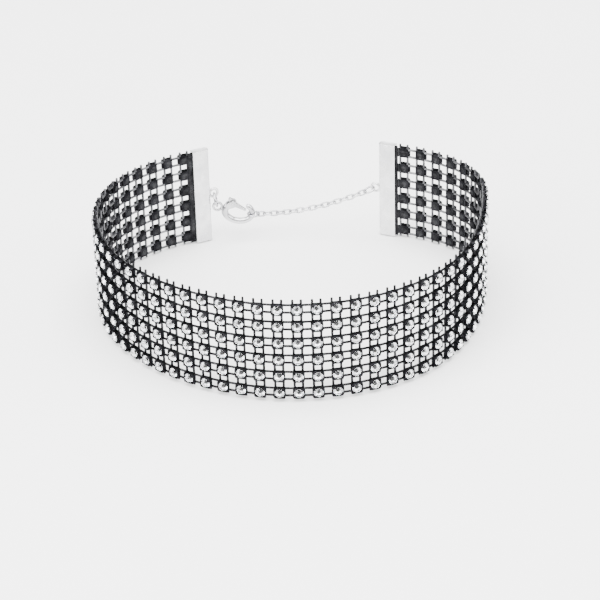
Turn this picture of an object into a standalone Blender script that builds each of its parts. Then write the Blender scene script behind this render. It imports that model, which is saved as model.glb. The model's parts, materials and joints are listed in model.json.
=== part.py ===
"""Choker necklace: a wide rhinestone mesh closed in a ring, with two end bars, a fine chain and a lobster clasp.

Metres, +Z up. The band stands on edge round the origin, its front towards -Y. The origin is the middle of
the neck opening at half the band's height.
"""

import math

import bmesh
import bpy
from mathutils import Matrix, Vector

# Gap between pieces that touch on the real necklace
CLEARANCE = 0.0003

# Mesh of stones: each cup has a square back, a widest outline with cut corners and a cut stone on top
ROWS = 6
COLUMNS = 51
PITCH = 0.0052
CUP_WIDTH = 0.0034
CUP_BACK_WIDTH = 0.0029
LINK_WIDTH = 0.0027
LINK_THICKNESS = 0.0009
TABLE_WIDTH = 0.0018
STONE_HEIGHT = 0.0018

# Way of the band seen from above, from the left end round the front to the right end.
# Each stretch is an arc, given as its share of the band's length and its turn in degrees.
LEFT_HEADING = -160.0
STRETCHES = (
    (4.0, 27.0),
    (4.0, 37.0),
    (3.5, 21.0),
    (3.5, 21.0),
    (3.5, 16.0),
    (4.5, 22.0),
    (2.0, 12.0),
    (4.5, 25.0),
    (2.0, 11.0),
    (4.0, 27.0),
    (4.0, 19.0),
    (4.0, 10.0),
    (4.0, 50.0),
    (3.5, 23.0),
)

# End bars: sheet folded over the last links
BAR_WIDTH = 0.0052
BAR_HEIGHT = 0.0304
BAR_SHEET = 0.0004
BAR_FOLD_RADIUS = 0.0009
FOLD_STEPS = 3
LOOP_DIAMETER = 0.0034
LOOP_WIRE = 0.0008

# Jump rings, measured over the wire
RING_DIAMETER = 0.004
RING_WIRE = 0.0006
CLASP_RING_DIAMETER = 0.0047
CLASP_RING_WIRE = 0.0007

# Fine chain of oval links
LINK_LENGTH = 0.00302
LINK_OVER_WIDTH = 0.00195
CHAIN_WIRE = 0.00045
CHAIN_PLAY = 0.00015
CHAIN_SLACK = 0.003
CHAIN_LINE_SAMPLES = 2000
RING_SIDES = 10
WIRE_SIDES = 5

# Lobster clasp, in its own plane: X from the tail ring to the nose, Y towards the lever
CLASP_LENGTH = 0.0108
CLASP_TILT = 12.0
CLASP_HANG = 78.0
TAIL_DIAMETER = 0.0034
TAIL_WIRE = 0.0008
HOOK_HALF_HEIGHT = 0.003
HOOK_DROP = 0.0008
HOOK_WIRE = 0.0022
HOOK_TIP_WIRE = 0.0016
HOOK_START = 145.0
HOOK_END = 422.0
HOOK_STEPS = 11
HOOK_SIDES = 6
CHEEK_THICKNESS = 0.0005
CHEEK_RADIUS = 0.0011
CHEEK_TAIL_RADIUS = 0.0009
PIN_PLACE = (0.0044, 0.00185)
PIN_DIAMETER = 0.0009
PIN_HEAD = 0.0001
PIN_PLAY = 0.0002
LEVER_LENGTH = 0.0046
LEVER_THICKNESS = 0.001
LEVER_EYE_RADIUS = 0.0012
LEVER_ARM_HEIGHT = 0.001
LEVER_TIP_HEIGHT = 0.0006
LEVER_SLOPE = -21.5
NUB_REACH = 0.0019
NUB_HEIGHT = 0.0008
ROUND_SIDES = 8


def clear_scene():
    for thing in list(bpy.data.objects):
        bpy.data.objects.remove(thing, do_unlink=True)


def material(name, colour, metallic, roughness):
    made = bpy.data.materials.new(name)
    made.use_nodes = True
    shader = made.node_tree.nodes["Principled BSDF"]
    shader.inputs["Base Color"].default_value = (*colour, 1.0)
    shader.inputs["Metallic"].default_value = metallic
    shader.inputs["Roughness"].default_value = roughness
    made.diffuse_color = (*colour, 1.0)
    return made


def add_object(name, mesh, finish=None, smooth=False):
    """Put a bmesh into the scene as one object with its faces turned outwards."""
    bmesh.ops.recalc_face_normals(mesh, faces=mesh.faces[:])
    data = bpy.data.meshes.new(name)
    mesh.to_mesh(data)
    mesh.free()
    if finish:
        data.materials.append(finish)
    if smooth:
        data.shade_smooth()
        data.set_sharp_from_angle(angle=math.radians(50))
    thing = bpy.data.objects.new(name, data)
    bpy.context.scene.collection.objects.link(thing)
    return thing


def unite(target, helpers):
    """Fuse helpers into the target, and leave them as hidden guides."""
    for helper in helpers:
        helper.hide_render = True
        helper.display_type = "WIRE"
        joined = target.modifiers.new(helper.name, "BOOLEAN")
        joined.operation = "UNION"
        joined.object = helper


def band_length():
    return COLUMNS * PITCH


def band_path(way):
    """Place and heading on the uncentred plan at a distance from the band's left end."""
    total = sum(share for share, _ in STRETCHES)
    place = Vector((0.0, 0.0))
    heading = math.radians(LEFT_HEADING)
    for number, (share, degrees) in enumerate(STRETCHES):
        length = share / total * band_length()
        bend = math.radians(degrees) / length
        last = number == len(STRETCHES) - 1
        step = way if last else min(way, length)
        end = heading + bend * step
        place += Vector((math.sin(end) - math.sin(heading), math.cos(heading) - math.cos(end))) / bend
        heading = end
        way -= step
        if way <= 0.0:
            break
    return place, heading


def plan_centre():
    """Middle of the band's extent in X and Y, measured at its columns."""
    places = [band_path((column + 0.5) * PITCH)[0] for column in range(COLUMNS)]
    spread = [(min(p[axis] for p in places), max(p[axis] for p in places)) for axis in (0, 1)]
    return Vector(((spread[0][0] + spread[0][1]) / 2, (spread[1][0] + spread[1][1]) / 2))


class Frame:
    """A place with its directions along the band, up and outwards."""

    def __init__(self, place, along, up, out):
        self.place = Vector(place)
        self.along = Vector(along)
        self.up = Vector(up)
        self.out = Vector(out)

    def at(self, along, up, out):
        return self.place + self.along * along + self.up * up + self.out * out

    def moved(self, along=0.0, up=0.0, out=0.0):
        return Frame(self.at(along, up, out), self.along, self.up, self.out)

    def matrix(self):
        turned = Matrix((self.along, self.up, self.out)).transposed().to_4x4()
        turned.translation = self.place
        return turned


def band_frame(way, centre):
    place, heading = band_path(way)
    along = Vector((math.cos(heading), math.sin(heading), 0.0))
    out = Vector((math.sin(heading), -math.cos(heading), 0.0))
    return Frame((place - centre).to_3d(), along, (0.0, 0.0, 1.0), out)


def octagon(side_distance, side_half):
    """Eight corners as two to each side, in the order right, top, left, bottom."""
    corners = []
    for quarter in range(4):
        turn = Matrix.Rotation(math.radians(90 * quarter), 2)
        corners += [turn @ Vector((side_distance, -side_half)), turn @ Vector((side_distance, side_half))]
    return corners


class Cell:
    """One cup with its stone: table, outline at the cup's rim, and square back."""

    def __init__(self, mesh, frame):
        table_half_side = TABLE_WIDTH / 2 * math.tan(math.radians(22.5))
        table = octagon(TABLE_WIDTH / 2, table_half_side)
        rim = octagon(CUP_WIDTH / 2, LINK_WIDTH / 2)
        half = CUP_BACK_WIDTH / 2
        back = [Vector(corner) for corner in ((half, -half), (half, half), (-half, half), (-half, -half))]

        def level(points, out):
            return [mesh.verts.new(frame.at(point.x, point.y, out)) for point in points]

        self.mesh = mesh
        self.rim = level(rim, LINK_THICKNESS)
        self.back = level(back, 0.0)
        top = level(table, STONE_HEIGHT)
        mesh.faces.new(top)
        mesh.faces.new(self.back)
        for k in range(8):
            mesh.faces.new((top[k], top[k - 7], self.rim[k - 7], self.rim[k]))
        for k in range(4):
            mesh.faces.new((self.rim[2 * k + 1], self.rim[(2 * k + 2) % 8], self.back[(k + 1) % 4]))

    def side(self, quarter):
        """Four corners of the side where a link can start: rim low, rim high, back high, back low."""
        return (
            self.rim[2 * quarter],
            self.rim[2 * quarter + 1],
            self.back[(quarter + 1) % 4],
            self.back[quarter],
        )

    def close_side(self, quarter):
        self.mesh.faces.new(self.side(quarter))

    def link(self, quarter, other):
        """Join this side to the facing side of the next cup."""
        near = self.side(quarter)
        far = other.side((quarter + 2) % 4)
        join(self.mesh, near, (far[1], far[0], far[3], far[2]))

    def tongue(self, quarter, way):
        """End this side in a link cut off after a way, a vector."""
        near = self.side(quarter)
        far = [self.mesh.verts.new(corner.co + way) for corner in near]
        join(self.mesh, near, far)
        self.mesh.faces.new(far)


def join(mesh, near, far):
    """Walls between two loops of as many corners."""
    for k in range(len(near)):
        mesh.faces.new((near[k - 1], near[k], far[k], far[k - 1]))


RIGHT, TOP, LEFT, BOTTOM = range(4)


def row_height(row):
    return ((ROWS - 1) / 2 - row) * PITCH


def stone_mesh(name, first, last, centre, finish):
    """The columns first to last as one body of cups and links."""
    mesh = bmesh.new()
    cells = {}
    frames = {column: band_frame((column + 0.5) * PITCH, centre) for column in range(first, last + 1)}
    for column, frame in frames.items():
        for row in range(ROWS):
            cells[column, row] = Cell(mesh, frame.moved(up=row_height(row)))
    tab = PITCH / 2 - CUP_WIDTH / 2 + BAR_WIDTH - BAR_SHEET - CLEARANCE
    meeting = PITCH - CUP_WIDTH - CLEARANCE
    for (column, row), cell in cells.items():
        if row == 0:
            cell.close_side(TOP)
        else:
            cell.link(TOP, cells[column, row - 1])
        if row == ROWS - 1:
            cell.close_side(BOTTOM)
        along = frames[column].along
        if column < last:
            cell.link(RIGHT, cells[column + 1, row])
        elif column == COLUMNS - 1:
            cell.tongue(RIGHT, along * tab)
        else:
            following = band_frame((column + 1.0) * PITCH, centre)
            cell.tongue(RIGHT, following.along * meeting)
        if column == 0:
            cell.tongue(LEFT, -along * tab)
        elif column == first:
            cell.close_side(LEFT)
    return add_object(name, mesh, finish)


def prism(name, outline, frame, low, high, finish=None, smooth=False):
    """An outline in the frame's plane, drawn out from one level to another."""
    mesh = bmesh.new()
    ends = [[mesh.verts.new(frame.at(x, y, level)) for x, y in outline] for level in (low, high)]
    join(mesh, *ends)
    for end in ends:
        mesh.faces.new(end)
    return add_object(name, mesh, finish, smooth)


def arc(centre, radius, start, end, steps):
    """Points on an arc, its angles in degrees."""
    points = []
    for step in range(steps + 1):
        angle = math.radians(start + (end - start) * step / steps)
        points.append((centre[0] + radius * math.cos(angle), centre[1] + radius * math.sin(angle)))
    return points


def tube(name, path, radii, plane_normal, sides, closed, finish=None):
    """A wire round a flat path, with its own radius at each point."""
    mesh = bmesh.new()
    loops = []
    count = len(path)
    for k, point in enumerate(path):
        before = path[k - 1] if closed or k > 0 else point
        after = path[(k + 1) % count] if closed or k < count - 1 else point
        across = (after - before).normalized().cross(plane_normal)
        ring = []
        for side in range(sides):
            angle = 2 * math.pi * side / sides
            ring.append(mesh.verts.new(point + (across * math.cos(angle) + plane_normal * math.sin(angle)) * radii[k]))
        loops.append(ring)
    for k in range(count if closed else count - 1):
        join(mesh, loops[k], loops[(k + 1) % count])
    if not closed:
        mesh.faces.new(loops[0])
        mesh.faces.new(loops[-1])
    return add_object(name, mesh, finish, smooth=True)


def ring(name, frame, length, width, wire, finish=None):
    """A round or oval wire ring in the frame's along and up plane, its size measured over the wire."""
    end = (width - wire) / 2
    straight = (length - width) / 2
    path = []
    for k in range(RING_SIDES):
        angle = 2 * math.pi * k / RING_SIDES
        shift = math.copysign(straight, math.cos(angle))
        path.append(frame.at(end * math.cos(angle) + shift, end * math.sin(angle), 0.0))
    return tube(name, path, [wire / 2] * RING_SIDES, frame.out, WIRE_SIDES, True, finish)


def bar_frame(is_left, centre):
    """Frame at the bar's mouth, square to the last cups, its first direction running away from the band."""
    cup = band_frame(PITCH / 2 if is_left else band_length() - PITCH / 2, centre)
    away = -cup.along if is_left else cup.along
    return Frame(cup.place + away * PITCH / 2, away, cup.out, cup.up)


def bar_profile():
    """Section of the folded sheet: across the bar, then through it, from the mouth round the fold and back."""
    inner_low = -CLEARANCE
    inner_high = LINK_THICKNESS + CLEARANCE
    low = inner_low - BAR_SHEET
    high = inner_high + BAR_SHEET
    bend = BAR_WIDTH - BAR_FOLD_RADIUS
    inner_bend = BAR_FOLD_RADIUS - BAR_SHEET
    outer = arc((bend, low + BAR_FOLD_RADIUS), BAR_FOLD_RADIUS, -90, 0, FOLD_STEPS)
    outer += arc((bend, high - BAR_FOLD_RADIUS), BAR_FOLD_RADIUS, 0, 90, FOLD_STEPS)
    inner = arc((bend, inner_high - inner_bend), inner_bend, 90, 0, 1)
    inner += arc((bend, inner_low + inner_bend), inner_bend, 0, -90, 1)
    return [(0.0, low), *outer, (0.0, high), (0.0, inner_high), *inner, (0.0, inner_low)]


def loop_frame(is_left, centre):
    """Frame of the loop on a bar's folded edge, in the bar's own plane."""
    frame = bar_frame(is_left, centre)
    reach = BAR_WIDTH + (LOOP_DIAMETER - LOOP_WIRE) / 2
    return Frame(frame.at(reach, LINK_THICKNESS / 2, 0.0), frame.along, frame.out, frame.up)


def end_bar(name, is_left, centre, finish):
    frame = bar_frame(is_left, centre)
    bar = prism(name, bar_profile(), frame, -BAR_HEIGHT / 2, BAR_HEIGHT / 2, finish, smooth=True)
    loop = ring(name + "_loop", loop_frame(is_left, centre), LOOP_DIAMETER, LOOP_DIAMETER, LOOP_WIRE)
    unite(bar, [loop])
    return bar


def step_between(one, other, play=CHAIN_PLAY):
    """Distance between two linked rings, each given as its length over the wire and its wire."""
    return (one[0] + other[0]) / 2 - one[1] - other[1] - play


class Hanging:
    """The vertical plane between the two loops, and where the clasp and the chain lie in it."""

    def __init__(self, centre):
        self.right = loop_frame(False, centre).place
        self.left = loop_frame(True, centre).place
        self.across = (self.left - self.right).normalized()
        self.up = Vector((0.0, 0.0, 1.0))
        self.back = self.across.cross(self.up)
        loop = (LOOP_DIAMETER, LOOP_WIRE)
        small = (RING_DIAMETER, RING_WIRE)
        large = (CLASP_RING_DIAMETER, CLASP_RING_WIRE)
        tail = (TAIL_DIAMETER, TAIL_WIRE)
        link = (LINK_LENGTH, CHAIN_WIRE)
        hang = self.direction(-math.cos(math.radians(CLASP_HANG)), -math.sin(math.radians(CLASP_HANG)))
        self.clasp_ring = self.left + hang * step_between(loop, large)
        self.clasp_ring_way = hang
        self.tail = self.clasp_ring + hang * step_between(large, tail)
        tilt = math.radians(CLASP_TILT)
        self.nose_way = self.direction(-math.cos(tilt), -math.sin(tilt))
        nose_place = self.tail + self.nose_way * CLASP_LENGTH - self.clasp_up() * HOOK_DROP
        inside = RING_DIAMETER / 2 - RING_WIRE - nose_wire() / 2 - CHAIN_PLAY
        self.start_steps = [step_between(loop, small), step_between(small, link)]
        self.link_step = step_between(link, link)
        self.end_steps = [step_between(link, small), inside]
        self.links = self.link_count((nose_place - self.right).length)
        self.route(nose_place)

    def direction(self, across, up):
        return self.across * across + self.up * up

    def clasp_up(self):
        return self.nose_way.cross(self.back)

    def length_for(self, links):
        return sum(self.start_steps) + (links - 1) * self.link_step + sum(self.end_steps)

    def link_count(self, chord):
        """The fewest links that leave a little slack; an odd number, so that the rings at both ends lie flat."""
        links = 1
        while self.length_for(links) < chord * (1.0 + CHAIN_SLACK):
            links += 2
        return links

    def route(self, nose_place):
        """Places and directions of the right ring, the links and the end ring on a sagging line."""
        chord = nose_place - self.right
        spare = self.length_for(self.links) - chord.length
        sag = math.sqrt(3.0 / 8.0 * chord.length * spare)

        def point(share):
            return self.right + chord * share - self.up * 4.0 * sag * share * (1.0 - share)

        samples = CHAIN_LINE_SAMPLES
        line = [point(k / samples) for k in range(samples + 1)]
        run = [0.0]
        for before, after in zip(line, line[1:]):
            run.append(run[-1] + (after - before).length)
        steps = self.start_steps + [self.link_step] * (self.links - 1) + self.end_steps[:1]
        self.places = []
        way = 0.0
        for step in steps:
            way += step * run[-1] / self.length_for(self.links)
            k = min(next(i for i, length in enumerate(run) if length >= way), samples - 1)
            self.places.append((line[k], (line[k + 1] - line[k - 1]).normalized()))

    def standing(self, place, way):
        """Frame of a ring that stands in the vertical plane."""
        return Frame(place, way, way.cross(self.back), self.back)

    def lying(self, place, way):
        """Frame of a ring turned a quarter round its own length."""
        return Frame(place, way, self.back, way.cross(self.back))


def nose_wire():
    """Thickness of the hook at its nose, part of the way from the belly to the tip."""
    return HOOK_WIRE + (HOOK_TIP_WIRE - HOOK_WIRE) * hook_share(360.0)


def hook_share(degrees):
    return (degrees - HOOK_START) / (HOOK_END - HOOK_START)


def clasp_frame(hanging):
    return Frame(hanging.tail, hanging.nose_way, hanging.clasp_up(), -hanging.back)


def hook_path(frame):
    """The hook's middle line, an ellipse from the pin round the belly and the nose to the tip."""
    left = (TAIL_DIAMETER + HOOK_WIRE) / 2 - TAIL_WIRE / 2
    half_length = (CLASP_LENGTH - left) / 2
    path = []
    radii = []
    for step in range(HOOK_STEPS + 1):
        degrees = HOOK_START + (HOOK_END - HOOK_START) * step / HOOK_STEPS
        angle = math.radians(degrees)
        x = left + half_length * (1.0 + math.cos(angle))
        y = HOOK_HALF_HEIGHT * math.sin(angle) - HOOK_DROP
        path.append(frame.at(x, y, 0.0))
        radii.append((HOOK_WIRE + (HOOK_TIP_WIRE - HOOK_WIRE) * hook_share(degrees)) / 2)
    return path, radii


def cheek_levels():
    inner = LEVER_THICKNESS / 2 + PIN_PLAY
    return inner, inner + CHEEK_THICKNESS


def clasp_body(hanging, finish):
    """Tail ring, hook, two cheeks and the pin, cast as one piece."""
    frame = clasp_frame(hanging)
    path, radii = hook_path(frame)
    body = tube("clasp_body", path, radii, frame.out, HOOK_SIDES, False, finish)
    tail = ring("tail_ring", frame, TAIL_DIAMETER, TAIL_DIAMETER, TAIL_WIRE)
    start = path[0] - frame.place
    start = Vector((start.dot(frame.along), start.dot(frame.up)))
    pin = Vector(PIN_PLACE)
    lean = math.degrees(math.atan2(pin.y - start.y, pin.x - start.x))
    outline = arc(pin, CHEEK_RADIUS, lean - 90, lean + 90, 4)
    outline += arc(start, CHEEK_TAIL_RADIUS, lean + 90, lean + 270, 2)
    inner, outer = cheek_levels()
    cheeks = [
        prism("front_cheek", outline, frame, inner, outer),
        prism("back_cheek", outline, frame, -outer, -inner),
    ]
    turned = arc(pin, PIN_DIAMETER / 2, 0, 360 - 360 / ROUND_SIDES, ROUND_SIDES - 1)
    rivet = prism("rivet", turned, frame, -outer - PIN_HEAD, outer + PIN_HEAD)
    unite(body, [tail, *cheeks, rivet])
    return body


def lever_outline():
    """The lever's outline round the pin, its arm along X: arm end, top, eye, nub, eye and underside."""
    half = LEVER_ARM_HEIGHT / 2
    tip = LEVER_TIP_HEIGHT / 2
    eye = LEVER_EYE_RADIUS
    points = [(LEVER_LENGTH, -tip), (LEVER_LENGTH, tip), (LEVER_LENGTH / 2, half)]
    points += arc((0.0, 0.0), eye, 40, 110, 2)
    points += [(-NUB_REACH, eye), (-NUB_REACH, eye - NUB_HEIGHT)]
    points += arc((0.0, 0.0), eye, 190, 320, 3)
    points += [(LEVER_LENGTH / 2, -half)]
    return points


def clasp_lever(hanging, finish):
    """The lever with its bore, its origin on the pin."""
    clasp = clasp_frame(hanging)
    turn = Matrix.Rotation(math.radians(LEVER_SLOPE), 3, clasp.out)
    place = clasp.at(*PIN_PLACE, 0.0)
    frame = Frame(place, turn @ clasp.along, turn @ clasp.up, clasp.out)
    own = Frame((0.0, 0.0, 0.0), (1.0, 0.0, 0.0), (0.0, 1.0, 0.0), (0.0, 0.0, 1.0))
    half = LEVER_THICKNESS / 2
    lever = prism("clasp_lever", lever_outline(), own, -half, half, finish, smooth=True)
    bore_radius = PIN_DIAMETER / 2 + PIN_PLAY
    turned = arc((0.0, 0.0), bore_radius, 0, 360 - 360 / ROUND_SIDES, ROUND_SIDES - 1)
    bore = prism("lever_bore", turned, own, -2 * half, 2 * half)
    for thing in (lever, bore):
        thing.matrix_world = frame.matrix()
    bore.hide_render = True
    bore.display_type = "WIRE"
    cut = lever.modifiers.new("bore", "BOOLEAN")
    cut.operation = "DIFFERENCE"
    cut.object = bore
    return lever


def chain(hanging, finish):
    """Right jump ring, links and end ring, each turned a quarter from the one before."""
    count = len(hanging.places)
    for number, (place, way) in enumerate(hanging.places):
        lies = number % 2 == 0
        frame = hanging.lying(place, way) if lies else hanging.standing(place, way)
        if number == 0:
            ring("jump_ring_right", frame, RING_DIAMETER, RING_DIAMETER, RING_WIRE, finish)
        elif number == count - 1:
            ring("chain_end_ring", frame, RING_DIAMETER, RING_DIAMETER, RING_WIRE, finish)
        else:
            name = f"chain_link_{number:02d}"
            ring(name, frame, LINK_LENGTH, LINK_OVER_WIDTH, CHAIN_WIRE, finish)


def build():
    clear_scene()
    centre = plan_centre()
    stones = material("black_cups_and_stones", (0.03, 0.03, 0.034), 0.6, 0.25)
    bars = material("pale_silver", (0.82, 0.82, 0.83), 1.0, 0.3)
    rings = material("ring_silver", (0.8, 0.8, 0.82), 1.0, 0.2)
    clasp = material("clasp_silver", (0.78, 0.78, 0.8), 1.0, 0.22)
    middle = COLUMNS // 2
    stone_mesh("stone_mesh_left", 0, middle, centre, stones)
    stone_mesh("stone_mesh_right", middle + 1, COLUMNS - 1, centre, stones)
    end_bar("end_bar_left", True, centre, bars)
    end_bar("end_bar_right", False, centre, bars)
    hanging = Hanging(centre)
    chain(hanging, rings)
    frame = hanging.lying(hanging.clasp_ring, hanging.clasp_ring_way)
    ring("jump_ring_left", frame, CLASP_RING_DIAMETER, CLASP_RING_DIAMETER, CLASP_RING_WIRE, rings)
    clasp_body(hanging, clasp)
    clasp_lever(hanging, clasp)


build()
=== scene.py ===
"""Looks of the choker necklace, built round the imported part.

Metres, +Z up, in the part's own frame. The front of the band faces -Y, and the clasp hangs at the back.
"""

import json
import math

import bmesh
import bpy
import numpy as np
from mathutils import Matrix, Vector


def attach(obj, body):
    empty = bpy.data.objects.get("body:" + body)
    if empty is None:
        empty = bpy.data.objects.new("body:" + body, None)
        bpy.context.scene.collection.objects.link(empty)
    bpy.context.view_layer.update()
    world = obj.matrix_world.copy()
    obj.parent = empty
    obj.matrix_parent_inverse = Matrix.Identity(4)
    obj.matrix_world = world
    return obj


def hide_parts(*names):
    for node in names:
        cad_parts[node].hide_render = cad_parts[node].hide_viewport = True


MM = 0.001
SEED = 11

# The band, as in the part: cups on a square net, along arcs seen from above
ROWS = 6
COLUMNS = 51
PITCH = 5.2 * MM
LEFT_HEADING = -160.0
STRETCHES = (
    # share of the length, turn in degrees
    (4.0, 27.0),
    (4.0, 37.0),
    (3.5, 21.0),
    (3.5, 21.0),
    (3.5, 16.0),
    (4.5, 22.0),
    (2.0, 12.0),
    (4.5, 25.0),
    (2.0, 11.0),
    (4.0, 27.0),
    (4.0, 19.0),
    (4.0, 10.0),
    (4.0, 50.0),
    (3.5, 23.0),
)
BAND_LENGTH = COLUMNS * PITCH

# One cup. Levels are measured outwards from its back.
CUP_WIDTH = 3.4 * MM
CUP_CORNER = 0.75 * MM
CUP_BACK_WIDTH = 3.0 * MM
CUP_SHOULDER = 0.75 * MM
CUP_RIM = 1.5 * MM
CORNER_STEPS = 4
DIMPLE_WIDTH = 1.6 * MM
DIMPLE_DEPTH = 0.2 * MM
DIMPLE_LIP = 0.03 * MM
BACK_BEND_WIDTH = 0.36 * MM
BACK_BEND_HEIGHT = 0.22 * MM
BACK_EDGE_WIDTH = 0.1 * MM
BACK_EDGE_HEIGHT = 0.07 * MM
RIM_EDGE_WIDTH = 0.1 * MM
RIM_EDGE_HEIGHT = 0.06 * MM
SEAT_WIDTH = 2.76 * MM
SEAT_CORNER = SEAT_WIDTH * 0.48
SEAT_EDGE_WIDTH = 0.06 * MM
SEAT_EDGE_HEIGHT = 0.04 * MM
SEAT_BELOW_GIRDLE = 0.1 * MM
SEAT_FLOOR = 0.3 * MM
SEAT_FLOOR_WIDTH = 0.9 * MM
SEAT_FLOOR_CORNER = 0.4 * MM

# One prong, a strip bent over the stone
PRONG_WIDTH = 0.48 * MM
PRONG_THICKNESS = 0.2 * MM
PRONG_FOOT = 0.95 * MM
PRONG_KNEE = 1.22 * MM
PRONG_TOP = 1.8 * MM
PRONG_REACH = 1.22 * MM
PRONG_SECTION = (
    # across as a share of half the width, outwards as a share of half the thickness
    (1.0, -0.4),
    (1.0, 0.5),
    (0.55, 1.0),
    (-0.55, 1.0),
    (-1.0, 0.5),
    (-1.0, -0.4),
    (-0.6, -1.0),
    (0.6, -1.0),
)

# One stone, a round brilliant with its foil behind the lower facets
MAIN_FACETS = 8
GIRDLE_FACETS = 2 * MAIN_FACETS
STONE_WIDTH = 2.7 * MM
TABLE_WIDTH = 1.52 * MM
GIRDLE_LOW = 1.43 * MM
GIRDLE_HIGH = 1.5 * MM
TABLE_LEVEL = 2.02 * MM
CULET_LEVEL = 0.48 * MM
STAR_RADIUS = 1.08 * MM
LOWER_RADIUS = 0.42 * MM
CULET_STAR_RADIUS = 0.5 * MM
STONE_TILT = 2.5

# Link wires, a pair to each side of a cup, and the tabs and upright wires before the bars
WIRE_DIAMETER = 0.7 * MM
WIRE_OFFSET = 1.14 * MM
WIRE_LEVEL = 0.42 * MM
WIRE_SIDES = 8
WIRE_EMBED = 0.25 * MM
TOP_HORN = 1.1 * MM
BOTTOM_HORN = 0.5 * MM
HORN_ROUNDING = 0.5
HORN_END = 0.6
TAB_WIDTH = 2.7 * MM
TAB_THICKNESS = 0.5 * MM
TAB_LOW = 0.1 * MM
TAB_IN_BAR = 1.2 * MM
LEFT_END_WIRES = (1.5 * MM, 1.9 * MM, 2.3 * MM, 2.65 * MM)
RIGHT_END_WIRES = (2.2 * MM, 2.6 * MM)
END_WIRE_LEVEL = 0.2 * MM
END_WIRE_INSET = 0.3 * MM

# End bars and their loops, as in the part
BAR_WIDTH = 5.2 * MM
BAR_HEIGHT = 30.4 * MM
BAR_SHEET = 0.4 * MM
BAR_FOLD_RADIUS = 0.9 * MM
BAR_INNER_LOW = -0.3 * MM
BAR_INNER_HIGH = 1.2 * MM
BAR_EDGE = 0.09 * MM
FOLD_STEPS = 8
LOOP_LEVEL = 0.45 * MM
LOOP_DIAMETER = 3.4 * MM
LOOP_WIRE = 0.8 * MM

# Rings and links: length, width and wire, all measured over the wire
RING = (4.0 * MM, 4.0 * MM, 0.6 * MM)
CLASP_RING = (4.7 * MM, 4.7 * MM, 0.7 * MM)
CHAIN_LINK = (3.02 * MM, 1.95 * MM, 0.45 * MM)
CHAIN_LINKS = 17
RING_STEPS = 32
RING_SIDES = 12

# Lobster clasp, in its own plane as in the part
CLASP_LENGTH = 10.8 * MM
CLASP_TILT = 12.0
TAIL_DIAMETER = 3.4 * MM
TAIL_WIRE = 0.8 * MM
HOOK_HALF_HEIGHT = 3.0 * MM
HOOK_DROP = 0.8 * MM
HOOK_WIRE = 2.2 * MM
HOOK_TIP_WIRE = 1.6 * MM
HOOK_START = 145.0
HOOK_END = 422.0
HOOK_STEPS = 56
HOOK_SIDES = 20
HOOK_END_STEPS = 3
HOOK_END_ROUNDING = 0.75
CHEEK_INNER = 0.7 * MM
CHEEK_OUTER = 1.2 * MM
CHEEK_RADIUS = 1.1 * MM
CHEEK_STEPS = 12
CHEEK_TAIL_RADIUS = 0.9 * MM
CHEEK_TAIL_STEPS = 8
PIN_PLACE = (4.4 * MM, 1.85 * MM)
PIN_DIAMETER = 0.9 * MM
PIN_HEAD = 0.1 * MM
PIN_SIDES = 24
PIN_EDGE = 0.06 * MM
LEVER_LENGTH = 4.6 * MM
LEVER_THICKNESS = 1.0 * MM
LEVER_EYE_RADIUS = 1.2 * MM
LEVER_ARM_HEIGHT = 1.0 * MM
LEVER_TIP_HEIGHT = 0.6 * MM
LEVER_SLOPE = -21.5
EYE_ABOVE = (40, 110, 6)  # start, end and steps of the eye's arc
EYE_BELOW = (190, 320, 10)
NUB_REACH = 1.9 * MM
NUB_HEIGHT = 0.8 * MM
CAST_EDGE = 0.16 * MM

# Edges that turn by less than these degrees are shaded smooth
CUP_SMOOTHING = 42
LINK_SMOOTHING = 50
RING_SMOOTHING = 60
CAST_SMOOTHING = 35

# Edges that turn by more than these degrees are rounded
ROUNDED_ANGLE = 40
ROUNDED_STEPS = 3

# Camera, from the fit of the net's rows and columns to the photo
CAMERA_DISTANCE = 690.0 * MM
CAMERA_ELEVATION = 29.27
CAMERA_ROLL = -1.68
CAMERA_LENS = 145.6
AIM_RIGHT = 1.98 * MM
AIM_DOWN = 9.0 * MM

# Finishes, whose colour and gloss change between the low and the high value of a noise
BLACK_PLATES = {
    # name: darkest colour, lightest colour, roughness
    "black_plate": ((0.006, 0.006, 0.007), (0.018, 0.018, 0.02), 0.27),
    "worn_dimple": ((0.015, 0.015, 0.016), (0.035, 0.035, 0.037), 0.36),
    "black_wire": ((0.008, 0.008, 0.009), (0.03, 0.03, 0.032), 0.24),
}
SILVERS = {
    # name: darkest colour, lightest colour, roughness
    # The lighter wire finish is a painted highlight: the lit side of the black wires, painted as a paler
    # silver
    "painted_sheen_wire": ((0.05, 0.05, 0.053), (0.14, 0.14, 0.147), 0.3),
    "satin_silver": ((0.6, 0.6, 0.61), (0.74, 0.74, 0.74), 0.3),
    "bright_silver": ((0.4, 0.4, 0.42), (0.62, 0.62, 0.63), 0.18),
    "cast_silver": ((0.42, 0.42, 0.43), (0.64, 0.64, 0.65), 0.17),
}
FOILS = {
    # name: darkest colour, lightest colour
    "stone_foil": ((0.93, 0.94, 0.95), (0.99, 0.99, 1.0)),
    "culet_shade": ((0.002, 0.002, 0.002), (0.02, 0.02, 0.022)),
}
PLATE_EDGE_TINT = (0.3, 0.3, 0.32)
BRUSHED_UPRIGHT = (1.0, 1.0, 0.04)
NOISE_LOW = 0.35
NOISE_HIGH = 0.65

# Floor and light, the floor just under the bars
FLOOR_LEVEL = -15.6 * MM
FLOOR_SIZE = 4.0
SKY_STRENGTH = 2.0
LAMPS = (
    # name, place, size, power
    ("soft_top", (0.0, -0.15, 1.2), 1.4, 60.0),
    ("soft_left", (-1.1, -0.7, 0.7), 0.9, 30.0),
    ("soft_right", (1.2, -0.4, 0.6), 0.9, 20.0),
)


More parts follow.
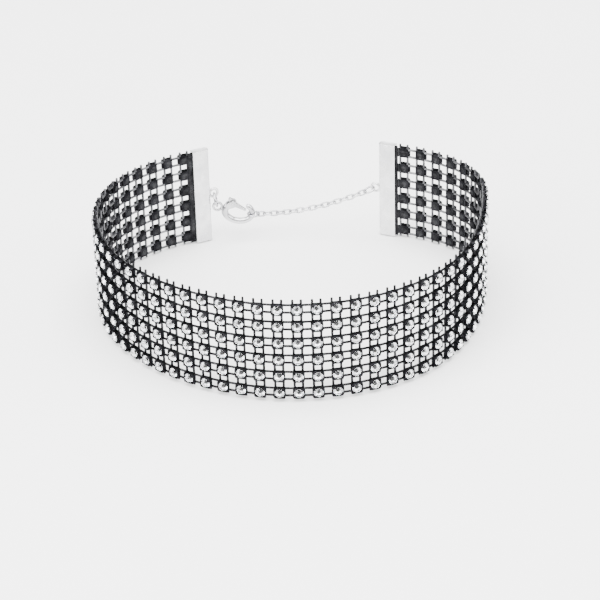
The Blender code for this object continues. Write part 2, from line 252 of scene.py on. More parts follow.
def band_path(distance):
    """Place and heading on the uncentred plan at a distance from the band's left end."""
    total = sum(share for share, _ in STRETCHES)
    place = Vector((0.0, 0.0))
    heading = math.radians(LEFT_HEADING)
    for number, (share, degrees) in enumerate(STRETCHES):
        length = share / total * BAND_LENGTH
        bend = math.radians(degrees) / length
        is_last = number == len(STRETCHES) - 1
        step = distance if is_last else min(distance, length)
        end = heading + bend * step
        place += Vector((math.sin(end) - math.sin(heading), math.cos(heading) - math.cos(end))) / bend
        heading = end
        distance -= step
        if distance <= 0.0:
            break
    return place, heading


def plan_centre():
    """Middle of the band's extent in X and Y, measured at its columns."""
    places = [band_path((column + 0.5) * PITCH)[0] for column in range(COLUMNS)]
    return Vector([(min(p[axis] for p in places) + max(p[axis] for p in places)) / 2 for axis in (0, 1)])


class Place:
    """A point with three directions, along, up and out."""

    def __init__(self, point, along, up, out):
        self.point = Vector(point)
        self.along = Vector(along)
        self.up = Vector(up)
        self.out = Vector(out)

    def at(self, along, up, out):
        return self.point + self.along * along + self.up * up + self.out * out

    def raised(self, height):
        return Place(self.at(0.0, height, 0.0), self.along, self.up, self.out)

    def put(self, points):
        """Carry an array of points in this place's directions into the part's frame."""
        turn = np.array([self.along, self.up, self.out])
        return np.asarray(points) @ turn + np.array(self.point)


def band_place(distance, centre):
    """Place on the band's back, at half its height, at a distance from its left end."""
    point, heading = band_path(distance)
    along = Vector((math.cos(heading), math.sin(heading), 0.0))
    out = Vector((math.sin(heading), -math.cos(heading), 0.0))
    return Place((point - centre).to_3d(), along, (0.0, 0.0, 1.0), out)


def row_height(row):
    """Height of a row's middle, the first row uppermost."""
    return ((ROWS - 1) / 2 - row) * PITCH


class Shape:
    """Points and faces of a shape, each face with the number of its finish."""

    def __init__(self):
        self.points = []
        self.faces = []
        self.finishes = []

    def loop(self, points):
        start = len(self.points)
        self.points += [tuple(point) for point in points]
        return list(range(start, len(self.points)))

    def face(self, corners, finish=0):
        self.faces.append(tuple(corners))
        self.finishes.append(finish)

    def wall(self, near, far, finish=0):
        for k in range(len(near)):
            self.face((near[k - 1], near[k], far[k], far[k - 1]), finish)

    def tube(self, loops, finish=0):
        """Loops of as many points each, joined and closed at both ends."""
        made = [self.loop(points) for points in loops]
        for near, far in zip(made, made[1:]):
            self.wall(near, far, finish)
        self.face(made[0], finish)
        self.face(made[-1], finish)


def new_mesh(name, points, faces, finishes, materials, smooth_angle=None):
    """A mesh object with its faces turned outwards, flat shaded where no angle is given."""
    data = bpy.data.meshes.new(name)
    data.from_pydata(points, [], faces)
    for finish in materials:
        data.materials.append(finish)
    data.polygons.foreach_set("material_index", finishes)
    outwards = bmesh.new()
    outwards.from_mesh(data)
    bmesh.ops.recalc_face_normals(outwards, faces=outwards.faces[:])
    outwards.to_mesh(data)
    outwards.free()
    if smooth_angle:
        data.shade_smooth()
        data.set_sharp_from_angle(angle=math.radians(smooth_angle))
    piece = bpy.data.objects.new(name, data)
    bpy.context.scene.collection.objects.link(piece)
    return piece


def add_shape(name, shape, materials, smooth_angle=None):
    return new_mesh(name, shape.points, shape.faces, shape.finishes, materials, smooth_angle)


def rounded_square(width, corner, level):
    """A square with round corners in the plane of the band."""
    middle = width / 2 - corner
    points = []
    for quarter in range(4):
        turn = math.radians(45 + 90 * quarter)
        across = math.copysign(middle, math.cos(turn))
        height = math.copysign(middle, math.sin(turn))
        for step in range(CORNER_STEPS + 1):
            angle = math.radians(90 * quarter + 90 * step / CORNER_STEPS)
            points.append((across + corner * math.cos(angle), height + corner * math.sin(angle), level))
    return points


PLATE, DIMPLE = range(2)
DIMPLE_FACES = 4 * (CORNER_STEPS + 1)


def cup_shape():
    """Square cup pressed from sheet: dimple in its back, tapered walls, open front and four prongs."""
    cup = Shape()
    levels = (
        # width, corner radius, level: the dimple, the back, the walls, the rim and the seat
        (DIMPLE_WIDTH * 0.72, DIMPLE_WIDTH * 0.3, DIMPLE_DEPTH),
        (DIMPLE_WIDTH, DIMPLE_WIDTH * 0.42, DIMPLE_LIP),
        (DIMPLE_WIDTH * 1.1, DIMPLE_WIDTH * 0.44, 0.0),
        (CUP_BACK_WIDTH - BACK_BEND_WIDTH, CUP_CORNER * 0.8, 0.0),
        (CUP_BACK_WIDTH - BACK_EDGE_WIDTH, CUP_CORNER * 0.95, BACK_EDGE_HEIGHT),
        (CUP_BACK_WIDTH, CUP_CORNER, BACK_BEND_HEIGHT),
        (CUP_WIDTH, CUP_CORNER, CUP_SHOULDER),
        (CUP_WIDTH, CUP_CORNER, CUP_RIM - RIM_EDGE_HEIGHT),
        (CUP_WIDTH - RIM_EDGE_WIDTH, CUP_CORNER, CUP_RIM),
        (SEAT_WIDTH + SEAT_EDGE_WIDTH, SEAT_CORNER, CUP_RIM),
        (SEAT_WIDTH, SEAT_CORNER, CUP_RIM - SEAT_EDGE_HEIGHT),
        (SEAT_WIDTH, SEAT_CORNER, GIRDLE_LOW - SEAT_BELOW_GIRDLE),
        (SEAT_FLOOR_WIDTH, SEAT_FLOOR_CORNER, SEAT_FLOOR),
    )
    cup.tube([rounded_square(*level) for level in levels])
    cup.finishes = [DIMPLE if number < DIMPLE_FACES else PLATE for number in range(len(cup.faces))]
    dimple_floor = -2  # the tube's two ends come last, the dimple's before the seat's
    cup.finishes[dimple_floor] = DIMPLE
    for quarter in range(4):
        add_prong(cup, math.radians(45 + 90 * quarter))
    return cup


def add_prong(cup, angle):
    """One prong, a tapered strip that rises from the cup's corner and is pressed down over the stone."""
    radial = Vector((math.cos(angle), math.sin(angle), 0.0))
    across = Vector((-math.sin(angle), math.cos(angle), 0.0))
    up = Vector((0.0, 0.0, 1.0))
    root = (CUP_WIDTH / 2 - CUP_CORNER) * math.sqrt(2) + CUP_CORNER - PRONG_THICKNESS / 2
    steps = (
        # radius, level, share of the width, lean of the strip's outer side from radial towards up
        (root, PRONG_FOOT, 1.0, 0.0),
        (root, PRONG_KNEE, 1.0, 8.0),
        (root - 0.1 * MM, PRONG_TOP - 0.18 * MM, 0.96, 38.0),
        (root - 0.26 * MM, PRONG_TOP - 0.04 * MM, 0.88, 62.0),
        (PRONG_REACH + 0.06 * MM, PRONG_TOP - 0.02 * MM, 0.72, 72.0),
        (PRONG_REACH, PRONG_TOP - 0.04 * MM, 0.45, 78.0),
    )
    loops = []
    for radius, level, share, lean in steps:
        middle = radial * radius + up * level
        outer = radial * math.cos(math.radians(lean)) + up * math.sin(math.radians(lean))
        half_width = PRONG_WIDTH * share / 2
        half_thickness = PRONG_THICKNESS * (0.5 + share / 2) / 2
        loops.append(
            [middle + across * half_width * x + outer * half_thickness * y for x, y in PRONG_SECTION]
        )
    cup.tube(loops)


def circle(radius, level, count, first=0.0):
    """Points round the stone's axis, the first turned by a share of a step."""
    angles = [2 * math.pi * (k + first) / count for k in range(count)]
    return [(radius * math.cos(angle), radius * math.sin(angle), level) for angle in angles]


CROWN, FOIL, CULET = range(3)


def stone_shape():
    """Round brilliant: table, 8 star, 8 main and 16 girdle facets above, 8 main and 16 half facets below.

    The middle of the lower main facets is a finish of its own, because no light comes back from there.
    """
    stone = Shape()
    radius = STONE_WIDTH / 2
    slope = (TABLE_LEVEL - GIRDLE_HIGH) / (radius - TABLE_WIDTH / 2)
    star_reach = STAR_RADIUS * math.cos(math.pi / MAIN_FACETS)
    star_level = TABLE_LEVEL - slope * (star_reach - TABLE_WIDTH / 2)
    lower_slope = (GIRDLE_LOW - CULET_LEVEL) / radius
    lower_level = CULET_LEVEL + lower_slope * LOWER_RADIUS * math.cos(math.pi / MAIN_FACETS)
    point_level = CULET_LEVEL + lower_slope * CULET_STAR_RADIUS
    table = stone.loop(circle(TABLE_WIDTH / 2, TABLE_LEVEL, MAIN_FACETS))
    star = stone.loop(circle(STAR_RADIUS, star_level, MAIN_FACETS, 0.5))
    high = stone.loop(circle(radius, GIRDLE_HIGH, GIRDLE_FACETS))
    low = stone.loop(circle(radius, GIRDLE_LOW, GIRDLE_FACETS))
    lower = stone.loop(circle(LOWER_RADIUS, lower_level, MAIN_FACETS, 0.5))
    point = stone.loop(circle(CULET_STAR_RADIUS, point_level, MAIN_FACETS))
    culet = stone.loop([(0.0, 0.0, CULET_LEVEL)])[0]
    stone.face(table, CROWN)
    for k in range(MAIN_FACETS):
        table_end = table[(k + 1) % MAIN_FACETS]
        girdle_end = (2 * k + 2) % GIRDLE_FACETS
        stone.face((table[k], table_end, star[k]), CROWN)
        stone.face((table[k], star[k], high[2 * k], star[k - 1]), CROWN)
        stone.face((star[k], high[2 * k], high[2 * k + 1]), CROWN)
        stone.face((star[k], high[2 * k + 1], high[girdle_end]), CROWN)
        stone.face((culet, lower[k - 1], point[k], lower[k]), CULET)
        stone.face((point[k], lower[k - 1], low[2 * k]), FOIL)
        stone.face((point[k], low[2 * k], lower[k]), FOIL)
        stone.face((lower[k], low[2 * k], low[2 * k + 1]), FOIL)
        stone.face((lower[k], low[2 * k + 1], low[girdle_end]), FOIL)
    for k in range(GIRDLE_FACETS):
        stone.face((low[k - 1], low[k], high[k], high[k - 1]), CROWN)
    return stone


def copies(name, shape, places, materials, smooth_angle=None):
    """One joined mesh with the shape at every place."""
    points = np.array(shape.points)
    count = len(points)
    all_points = np.concatenate([place.put(points) for place in places])
    faces = []
    for number in range(len(places)):
        start = number * count
        faces += [tuple(corner + start for corner in face) for face in shape.faces]
    finishes = shape.finishes * len(places)
    return new_mesh(name, all_points.tolist(), faces, finishes, materials, smooth_angle)


def stone_places(places, chance):
    """Each stone is turned by chance round its axis and sits a little askew, as glued stones do."""
    turned = []
    for place in places:
        spin = Matrix.Rotation(chance.uniform(0.0, math.tau), 3, place.out)
        lean_along = place.along * math.cos(chance.uniform(0.0, math.tau))
        lean_way = (lean_along + place.up * chance.uniform(-1.0, 1.0)).normalized()
        lean = Matrix.Rotation(math.radians(chance.normal(0.0, STONE_TILT)), 3, lean_way)
        turn = lean @ spin
        pivot = place.at(0.0, 0.0, GIRDLE_LOW)
        out = turn @ place.out
        turned.append(Place(pivot - out * GIRDLE_LOW, turn @ place.along, turn @ place.up, out))
    return turned


# Wire finishes: the wire's own black, and a lighter silver on one side that is a painted highlight
DARK, WORN = range(2)


def add_wire(wires, start, end, out, is_cut=False):
    """A straight wire, dark on its outer side and with a painted highlight, a lighter silver, on the
    neck's side, its end rounded where it is cut.
    """
    way = (end - start).normalized()
    side = (out - way * out.dot(way)).normalized()
    other = way.cross(side)
    radius = WIRE_DIAMETER / 2
    stations = [(start, radius), (end, radius)]
    if is_cut:
        stations[-1] = (end - way * radius * HORN_ROUNDING, radius)
        stations.append((end, radius * HORN_END))
    angles = [2 * math.pi * k / WIRE_SIDES for k in range(WIRE_SIDES)]
    turns = [side * math.cos(angle) + other * math.sin(angle) for angle in angles]
    loops = [wires.loop([middle + turn * size for turn in turns]) for middle, size in stations]
    for near, far in zip(loops, loops[1:]):
        for k in range(WIRE_SIDES):
            # The neck's side takes the painted highlight, the outer side the wire's own black
            is_outer = math.cos(angles[k] - math.pi / WIRE_SIDES) > 0.0
            wires.face((near[k - 1], near[k], far[k], far[k - 1]), DARK if is_outer else WORN)
    wires.face(loops[0], DARK)
    wires.face(loops[-1], DARK)


def add_cup_wires(wires, cups, column, row, offset):
    """A cup's wires at one offset: to the next column, to the next row, and the cut ends at the edges.

    The upright wire beside the left bar has its dark side to the neck, as the photo shows it.
    """
    cup = cups[column, row]
    reach = CUP_WIDTH / 2 - WIRE_EMBED
    if column < COLUMNS - 1:
        end = cups[column + 1, row].at(-reach, offset, WIRE_LEVEL)
        add_wire(wires, cup.at(reach, offset, WIRE_LEVEL), end, cup.out)
    start = cup.at(offset, -reach, WIRE_LEVEL)
    if row < ROWS - 1:
        beside_bar = column == 0 and offset < 0.0
        end = cups[column, row + 1].at(offset, reach, WIRE_LEVEL)
        add_wire(wires, start, end, -cup.out if beside_bar else cup.out)
    else:
        end = cup.at(offset, -CUP_WIDTH / 2 - BOTTOM_HORN, WIRE_LEVEL)
        add_wire(wires, start, end, cup.out, is_cut=True)
    if row == 0:
        end = cup.at(offset, CUP_WIDTH / 2 + TOP_HORN, WIRE_LEVEL)
        add_wire(wires, cup.at(offset, reach, WIRE_LEVEL), end, cup.out, is_cut=True)


def add_tab(wires, cup, way):
    """The flat end link that holds a last cup in the bar."""
    near = way * (CUP_WIDTH / 2 - WIRE_EMBED)
    far = way * (PITCH / 2 + TAB_IN_BAR)
    half = TAB_WIDTH / 2
    top = TAB_LOW + TAB_THICKNESS
    corners = ((-half, TAB_LOW), (half, TAB_LOW), (half, top), (-half, top))
    loops = [[cup.at(reach, height, level) for height, level in corners] for reach in (near, far)]
    wires.tube(loops, DARK)


def add_end_wires(wires, middle, way, reaches):
    """The upright wires that close the net before a bar, side by side, dark on the neck's side and with
    the painted highlight on the other.
    """
    half_height = BAR_HEIGHT / 2 - END_WIRE_INSET
    for reach in reaches:
        low = middle.at(way * reach, -half_height, END_WIRE_LEVEL)
        high = middle.at(way * reach, half_height, END_WIRE_LEVEL)
        add_wire(wires, low, high, -middle.out)


def link_wires(first, last, cups):
    """The wires of the columns from first to last, with the tabs and end wires before the bars."""
    wires = Shape()
    ends = {0: (-1, LEFT_END_WIRES), COLUMNS - 1: (1, RIGHT_END_WIRES)}
    for column, row in cups:
        if not first <= column <= last:
            continue
        for offset in (-WIRE_OFFSET, WIRE_OFFSET):
            add_cup_wires(wires, cups, column, row, offset)
        if column in ends:
            add_tab(wires, cups[column, row], ends[column][0])
    for column, (way, reaches) in ends.items():
        if first <= column <= last:
            add_end_wires(wires, cups[column, 0].raised(-row_height(0)), way, reaches)
    return wires


def arc(centre, radius, start, end, steps):
    """Points on an arc, its angles in degrees."""
    points = []
    for step in range(steps + 1):
        angle = math.radians(start + (end - start) * step / steps)
        points.append((centre[0] + radius * math.cos(angle), centre[1] + radius * math.sin(angle)))
    return points


def prism(name, outline, place, low, high, finish, edge):
    """An outline in the place's plane, drawn out from one level to another, its edges rounded."""
    shape = Shape()
    shape.tube([[place.at(x, y, level) for x, y in outline] for level in (low, high)])
    piece = add_shape(name, shape, [finish], CAST_SMOOTHING)
    rounding = piece.modifiers.new("edge", "BEVEL")
    rounding.width = edge
    rounding.segments = ROUNDED_STEPS
    rounding.limit_method = "ANGLE"
    rounding.angle_limit = math.radians(ROUNDED_ANGLE)
    rounding.harden_normals = True
    return piece


def swept(path, radii, plane_normal, sides, closed):
    """A round wire along a flat path, with its own radius at each point."""
    shape = Shape()
    loops = []
    count = len(path)
    angles = [2 * math.pi * side / sides for side in range(sides)]
    for k, point in enumerate(path):
        before = path[k - 1] if closed or k > 0 else point
        after = path[(k + 1) % count] if closed or k < count - 1 else point
        across = (after - before).normalized().cross(plane_normal)
        turns = [across * math.cos(angle) + plane_normal * math.sin(angle) for angle in angles]
        loops.append([point + turn * radii[k] for turn in turns])
    if not closed:
        shape.tube(loops)
        return shape
    made = [shape.loop(points) for points in loops]
    for k in range(count):
        shape.wall(made[k - 1], made[k])
    return shape


def ring_shape(place, size):
    """A round or oval wire ring in the place's along and up plane."""
    length, width, wire = size
    end = (width - wire) / 2
    straight = (length - width) / 2
    path = []
    for k in range(RING_STEPS):
        angle = 2 * math.pi * (k + 0.5) / RING_STEPS
        shift = math.copysign(straight, math.cos(angle))
        path.append(place.at(end * math.cos(angle) + shift, end * math.sin(angle), 0.0))
    return swept(path, [wire / 2] * RING_STEPS, place.out, RING_SIDES, True)


def solid_place(solid):
    """Middle and main directions of a ring's own solid, the longest first and its axis last."""
    corners = {tuple(round(x, 7) for x in vertex.co) for vertex in solid.data.vertices}
    points = np.array(sorted(corners))
    middle = points.mean(axis=0)
    _, directions = np.linalg.eigh(np.cov((points - middle).T))
    along = Vector(directions[:, 2])
    out = Vector(directions[:, 0])
    return Place(middle, along, out.cross(along), out)


def bar_place(is_left, centre):
    """Place at the bar's mouth: away from the band, outwards, and up."""
    cup = band_place(PITCH / 2 if is_left else BAND_LENGTH - PITCH / 2, centre)
    away = -cup.along if is_left else cup.along
    return Place(cup.point + away * PITCH / 2, away, cup.out, cup.up)


def bar_loop_place(bar):
    """Place of the loop on a bar's folded edge, in the bar's own plane."""
    reach = BAR_WIDTH + (LOOP_DIAMETER - LOOP_WIRE) / 2
    return Place(bar.at(reach, LOOP_LEVEL, 0.0), bar.along, bar.out, bar.up)


def bar_profile():
    """Section of the folded sheet, from the mouth round the fold and back."""
    low = BAR_INNER_LOW - BAR_SHEET
    high = BAR_INNER_HIGH + BAR_SHEET
    bend = BAR_WIDTH - BAR_FOLD_RADIUS
    inner_bend = BAR_FOLD_RADIUS - BAR_SHEET
    outer = arc((bend, low + BAR_FOLD_RADIUS), BAR_FOLD_RADIUS, -90, 0, FOLD_STEPS)
    outer += arc((bend, high - BAR_FOLD_RADIUS), BAR_FOLD_RADIUS, 0, 90, FOLD_STEPS)
    inner = arc((bend, BAR_INNER_HIGH - inner_bend), inner_bend, 90, 0, FOLD_STEPS)
    inner += arc((bend, BAR_INNER_LOW + inner_bend), inner_bend, 0, -90, FOLD_STEPS)
    return [(0.0, low), *outer, (0.0, high), (0.0, BAR_INNER_HIGH), *inner, (0.0, BAR_INNER_LOW)]


def clasp_place(joint):
    """The clasp's plane from the lever's hinge: along the nose's way, up, and the axis of the pin."""
    pin = Vector(joint["pos_m"])
    back = Vector(joint["axis"]).normalized()
    up = Vector((0.0, 0.0, 1.0))
    across = up.cross(back)
    tilt = math.radians(CLASP_TILT)
    nose_way = -across * math.cos(tilt) - up * math.sin(tilt)
    clasp_up = nose_way.cross(back)
    start = pin - nose_way * PIN_PLACE[0] - clasp_up * PIN_PLACE[1]
    return Place(start, nose_way, clasp_up, -back)


def hook_point(degrees):
    """A point of the hook's middle line, an ellipse in the clasp's plane."""
    left = (TAIL_DIAMETER + HOOK_WIRE) / 2 - TAIL_WIRE / 2
    half_length = (CLASP_LENGTH - left) / 2
    angle = math.radians(degrees)
    return left + half_length * (1.0 + math.cos(angle)), HOOK_HALF_HEIGHT * math.sin(angle) - HOOK_DROP


def hook_shape(place):
    """The hook, from the pin round the belly and the nose to its tip, rounded at both ends."""
    path = []
    radii = []
    for step in range(HOOK_STEPS + 1):
        share = step / HOOK_STEPS
        path.append(place.at(*hook_point(HOOK_START + (HOOK_END - HOOK_START) * share), 0.0))
        radius = (HOOK_WIRE + (HOOK_TIP_WIRE - HOOK_WIRE) * share) / 2
        from_end = min(step, HOOK_STEPS - step) / HOOK_END_STEPS
        if from_end < 1.0:
            radius *= math.sqrt(1.0 - (1.0 - from_end) ** 2 * HOOK_END_ROUNDING)
        radii.append(radius)
    return swept(path, radii, place.out, HOOK_SIDES, False)


def cheek_outline():
    """A cheek's outline round the pin and the hook's start."""
    start = hook_point(HOOK_START)
    lean = math.degrees(math.atan2(PIN_PLACE[1] - start[1], PIN_PLACE[0] - start[0]))
    outline = arc(PIN_PLACE, CHEEK_RADIUS, lean - 90, lean + 90, CHEEK_STEPS)
    return outline + arc(start, CHEEK_TAIL_RADIUS, lean + 90, lean + 270, CHEEK_TAIL_STEPS)


def lever_outline():
    """The lever's outline round the pin, its arm along X: arm end, top, eye, nub, eye and underside."""
    half = LEVER_ARM_HEIGHT / 2
    tip = LEVER_TIP_HEIGHT / 2
    pin = (0.0, 0.0)
    points = [(LEVER_LENGTH, -tip), (LEVER_LENGTH, tip), (LEVER_LENGTH / 2, half)]
    points += arc(pin, LEVER_EYE_RADIUS, *EYE_ABOVE)
    points += [(-NUB_REACH, LEVER_EYE_RADIUS), (-NUB_REACH, LEVER_EYE_RADIUS - NUB_HEIGHT)]
    points += arc(pin, LEVER_EYE_RADIUS, *EYE_BELOW)
    points += [(LEVER_LENGTH / 2, -half)]
    return points


def lever_place(clasp):
    """The lever's plane: the clasp's, turned on the pin by the arm's slope."""
    turn = Matrix.Rotation(math.radians(LEVER_SLOPE), 3, clasp.out)
    return Place(clasp.at(*PIN_PLACE, 0.0), turn @ clasp.along, turn @ clasp.up, clasp.out)


class Nodes:
    """A new material's node tree, with short ways to add nodes and links."""

    def __init__(self, name):
        self.material = bpy.data.materials.new(name)
        self.material.use_nodes = True
        self.tree = self.material.node_tree
        self.shader = self.tree.nodes["Principled BSDF"]
        self.place = self.add("ShaderNodeTexCoord").outputs["Object"]

    def add(self, kind):
        return self.tree.nodes.new(kind)

    def link(self, output, socket):
        self.tree.links.new(output, socket)

    def noise(self, scale, detail=3.0, stretch=None):
        """Noise with features of about 1 / scale metres, drawn out along an axis by stretch."""
        texture = self.add("ShaderNodeTexNoise")
        texture.inputs["Scale"].default_value = scale
        texture.inputs["Detail"].default_value = detail
        source = self.place
        if stretch:
            mapping = self.add("ShaderNodeMapping")
            mapping.inputs["Scale"].default_value = stretch
            self.link(self.place, mapping.inputs["Vector"])
            source = mapping.outputs["Vector"]
        self.link(source, texture.inputs["Vector"])
        return texture.outputs["Fac"]

    def colour(self, source, dark, light):
        made = self.add("ShaderNodeValToRGB")
        stops = made.color_ramp.elements
        stops[0].position = NOISE_LOW
        stops[0].color = (*dark, 1.0)
        stops[1].position = NOISE_HIGH
        stops[1].color = (*light, 1.0)
        self.link(source, made.inputs["Fac"])
        self.link(made.outputs["Color"], self.shader.inputs["Base Color"])

    def roughness(self, source, low, high):
        made = self.add("ShaderNodeMapRange")
        made.inputs["From Min"].default_value = NOISE_LOW
        made.inputs["From Max"].default_value = NOISE_HIGH
        made.inputs["To Min"].default_value = low
        made.inputs["To Max"].default_value = high
        self.link(source, made.inputs["Value"])
        self.link(made.outputs["Result"], self.shader.inputs["Roughness"])

    def bump(self, source, height, strength):
        made = self.add("ShaderNodeBump")
        made.inputs["Strength"].default_value = strength
        made.inputs["Distance"].default_value = height
        self.link(source, made.inputs["Height"])
        self.link(made.outputs["Normal"], self.shader.inputs["Normal"])


def black_plate(name):
    """Black plated brass: smoky colour changes, fine pits, and gloss that varies with handling."""
    dark, light, rough = BLACK_PLATES[name]
    made = Nodes(name)
    made.shader.inputs["Metallic"].default_value = 0.9
    made.shader.inputs["Specular IOR Level"].default_value = 0.35
    made.shader.inputs["Specular Tint"].default_value = (*PLATE_EDGE_TINT, 1.0)
    made.colour(made.noise(scale=420.0), dark, light)
    made.roughness(made.noise(scale=1500.0, detail=4.0), low=rough - 0.07, high=rough + 0.1)
    made.bump(made.noise(scale=9000.0, detail=2.0), height=0.012 * MM, strength=0.4)
    return made.material


def silver(name, stretch=None):
    """Silver plate with faint tarnish, uneven gloss and fine polishing lines."""
    dark, light, rough = SILVERS[name]
    made = Nodes(name)
    made.shader.inputs["Metallic"].default_value = 1.0
    made.colour(made.noise(scale=260.0), dark, light)
    made.roughness(made.noise(scale=900.0, detail=4.0), low=rough - 0.05, high=rough + 0.08)
    made.bump(made.noise(6000.0, 2.0, stretch), height=0.01 * MM, strength=0.35)
    return made.material


def matt_silver():
    """The sheet's matt inner side, painted pale as painted light that lifts the shade inside the fold."""
    made = Nodes("matt_silver")
    made.shader.inputs["Metallic"].default_value = 0.25
    # The pale colour is painted light that lifts the fold's shade; the matt gloss is the sheet's own
    made.colour(made.noise(scale=500.0), dark=(0.82, 0.82, 0.82), light=(0.95, 0.95, 0.95))
    made.roughness(made.noise(scale=1200.0, detail=4.0), low=0.5, high=0.7)
    made.bump(made.noise(scale=5000.0, detail=2.0), height=0.01 * MM, strength=0.3)
    return made.material


def crystal_glass():
    """Clear lead glass with a trace of cloudiness that changes from stone to stone."""
    made = Nodes("crystal_glass")
    made.shader.inputs["Transmission Weight"].default_value = 1.0
    made.shader.inputs["IOR"].default_value = 1.58
    made.colour(made.noise(scale=180.0, detail=1.0), dark=(0.95, 0.96, 0.98), light=(1.0, 1.0, 1.0))
    made.roughness(made.noise(scale=300.0, detail=2.0), low=0.0, high=0.03)
    return made.material


def mirror_foil(name):
    """The mirror foil behind a stone, or the dark spot in its middle."""
    dark, light = FOILS[name]
    made = Nodes(name)
    made.shader.inputs["Metallic"].default_value = 1.0
    made.colour(made.noise(scale=240.0, detail=2.0), dark, light)
    made.roughness(made.noise(scale=2500.0), low=0.02, high=0.1)
    return made.material


def pale_floor():
    made = Nodes("pale_floor")
    made.colour(made.noise(scale=3.0), dark=(0.93, 0.93, 0.93), light=(0.96, 0.96, 0.96))
    made.roughness(made.noise(scale=40.0), low=0.6, high=0.75)
    return made.material


def dress(piece, body, node):
    """A piece rides on a body and stands for a node of the part, whose own mesh is hidden."""
    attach(piece, body)
    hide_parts(node)


def band_cups(centre):
    """The place of each cup, by its column from the left and its row from the top."""
    cups = {}
    for column in range(COLUMNS):
        middle = band_place((column + 0.5) * PITCH, centre)
        for row in range(ROWS):
            cups[column, row] = middle.raised(row_height(row))
    return cups


def build_band(centre):
    """Cups, wires and stones in two halves, as the part's nodes are."""
    chance = np.random.default_rng(SEED)
    cup_finishes = [black_plate("black_plate"), black_plate("worn_dimple")]
    # The black wire, and its painted highlight, a lighter silver on the neck's side
    wire_finishes = [black_plate("black_wire"), silver("painted_sheen_wire")]
    stone_finishes = [crystal_glass(), mirror_foil("stone_foil"), mirror_foil("culet_shade")]
    cups = band_cups(centre)
    cup = cup_shape()
    stone = stone_shape()
    front = COLUMNS // 2
    for side, first, last in (("left", 0, front), ("right", front + 1, COLUMNS - 1)):
        node = f"stone_mesh_{side}"
        places = [place for (column, _), place in cups.items() if first <= column <= last]
        piece = copies(f"black_cups_{side}", cup, places, cup_finishes, CUP_SMOOTHING)
        dress(piece, "necklace", node)
        wires = link_wires(first, last, cups)
        piece = add_shape(f"link_wires_{side}", wires, wire_finishes, LINK_SMOOTHING)
        dress(piece, "necklace", node)
        piece = copies(f"cut_stones_{side}", stone, stone_places(places, chance), stone_finishes)
        dress(piece, "necklace", node)


def build_bars(centre):
    """The folded end bars, matt inside the fold and painted pale there as painted light against its
    shade, with their loops.
    """
    polished = silver("satin_silver", BRUSHED_UPRIGHT)
    unpolished = matt_silver()
    profile = bar_profile()
    inside_walls = range(len(profile) // 2 + 1, len(profile))
    half = BAR_HEIGHT / 2
    loop_size = (LOOP_DIAMETER, LOOP_DIAMETER, LOOP_WIRE)
    for is_left, side in ((True, "left"), (False, "right")):
        node = f"end_bar_{side}"
        place = bar_place(is_left, centre)
        bar = prism(f"folded_bar_{side}", profile, place, -half, half, polished, BAR_EDGE)
        bar.data.materials.append(unpolished)
        # The inside walls take the pale matt finish, painted light against the fold's shade
        for wall in inside_walls:
            bar.data.polygons[wall].material_index = 1
        dress(bar, "necklace", node)
        shape = ring_shape(bar_loop_place(place), loop_size)
        loop = add_shape(f"bar_loop_{side}", shape, [polished], RING_SMOOTHING)
        dress(loop, "necklace", node)


def build_rings(nodes):
    """The jump rings, the chain end ring and the chain's links, each where its solid is."""
    finish = silver("bright_silver")
    rings = {"jump_ring_right": RING, "chain_end_ring": RING, "jump_ring_left": CLASP_RING}
    for number in range(1, CHAIN_LINKS + 1):
        rings[f"chain_link_{number:02d}"] = CHAIN_LINK
    for node, size in rings.items():
        shape = ring_shape(solid_place(nodes[node]), size)
        piece = add_shape(f"wire_{node}", shape, [finish], RING_SMOOTHING)
        dress(piece, "necklace", node)


def build_clasp(joint):
    """The clasp's hook, tail ring, cheeks and pin in one body, and its lever on the other."""
    finish = silver("cast_silver")
    clasp = clasp_place(joint)
    tail = ring_shape(clasp, (TAIL_DIAMETER, TAIL_DIAMETER, TAIL_WIRE))
    pin = arc(PIN_PLACE, PIN_DIAMETER / 2, 0, 360 - 360 / PIN_SIDES, PIN_SIDES - 1)
    pin_end = CHEEK_OUTER + PIN_HEAD
    cheek = cheek_outline()
    body = (
        add_shape("hook", hook_shape(clasp), [finish], RING_SMOOTHING),
        add_shape("clasp_tail", tail, [finish], RING_SMOOTHING),
        prism("front_cheek", cheek, clasp, CHEEK_INNER, CHEEK_OUTER, finish, CAST_EDGE),
        prism("back_cheek", cheek, clasp, -CHEEK_OUTER, -CHEEK_INNER, finish, CAST_EDGE),
        prism("pin", pin, clasp, -pin_end, pin_end, finish, PIN_EDGE),
    )
    for piece in body:
        dress(piece, "necklace", "clasp_body")
    half = LEVER_THICKNESS / 2
    lever = prism("thumb_lever", lever_outline(), lever_place(clasp), -half, half, finish, CAST_EDGE)
    dress(lever, "lever", "clasp_lever")


def add_floor():
    """A square of pale floor, far wider than the view."""
    half = FLOOR_SIZE / 2
    corners = ((-half, -half), (half, -half), (half, half), (-half, half))
    shape = Shape()
    shape.face(shape.loop([(x, y, FLOOR_LEVEL) for x, y in corners]))
    floor = add_shape("studio_floor", shape, [pale_floor()])


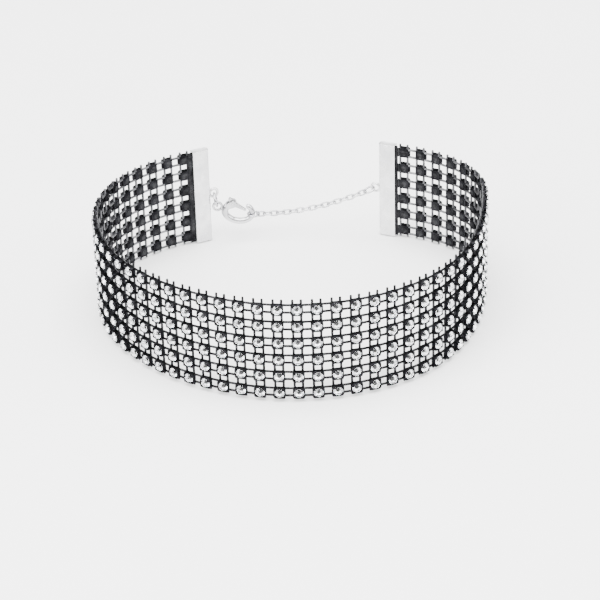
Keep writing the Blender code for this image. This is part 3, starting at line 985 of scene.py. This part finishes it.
def add_lights():
    """A pale surround and three large soft boxes, brightest overhead, as for a cut-out product photo."""
    world = bpy.data.worlds.new("studio")
    bpy.context.scene.world = world
    world.use_nodes = True
    sky = world.node_tree.nodes["Background"]
    sky.inputs["Color"].default_value = (1.0, 1.0, 1.0, 1.0)
    sky.inputs["Strength"].default_value = SKY_STRENGTH
    for name, place, size, power in LAMPS:
        data = bpy.data.lights.new(name, "AREA")
        data.size = size
        data.energy = power
        lamp = bpy.data.objects.new(name, data)
        lamp.location = place
        lamp.rotation_euler = (-Vector(place)).to_track_quat("-Z", "Y").to_euler()
        bpy.context.scene.collection.objects.link(lamp)


def add_camera():
    """A long lens in front of the choker and above it, rolled a little, aimed just below its middle."""
    elevation = math.radians(CAMERA_ELEVATION)
    roll = math.radians(CAMERA_ROLL)
    forward = Vector((0.0, math.cos(elevation), -math.sin(elevation)))
    level_up = Vector((0.0, math.sin(elevation), math.cos(elevation)))
    right = Vector((1.0, 0.0, 0.0)) * math.cos(roll) + level_up * math.sin(roll)
    up = right.cross(forward)
    place = -forward * CAMERA_DISTANCE
    aim = right * AIM_RIGHT - up * AIM_DOWN
    forward = (aim - place).normalized()
    right = forward.cross(up).normalized()
    up = right.cross(forward)
    data = bpy.data.cameras.new("photo_camera")
    data.lens = CAMERA_LENS
    camera = bpy.data.objects.new("photo_camera", data)
    turn = Matrix((right, up, -forward)).transposed().to_4x4()
    turn.translation = place
    camera.matrix_world = turn
    bpy.context.scene.collection.objects.link(camera)
    bpy.context.scene.camera = camera


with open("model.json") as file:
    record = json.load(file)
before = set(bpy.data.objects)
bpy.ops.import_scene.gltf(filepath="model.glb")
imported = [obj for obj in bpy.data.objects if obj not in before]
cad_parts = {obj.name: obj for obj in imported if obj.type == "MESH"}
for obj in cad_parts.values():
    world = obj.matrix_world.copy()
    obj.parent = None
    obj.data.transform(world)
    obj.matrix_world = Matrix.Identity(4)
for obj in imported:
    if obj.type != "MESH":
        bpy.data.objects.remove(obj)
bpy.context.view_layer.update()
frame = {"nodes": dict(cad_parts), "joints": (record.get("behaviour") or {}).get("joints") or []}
plan_middle = plan_centre()
build_band(plan_middle)
build_bars(plan_middle)
build_rings(frame["nodes"])
build_clasp(frame["joints"][0])
add_floor()
add_lights()
add_camera()
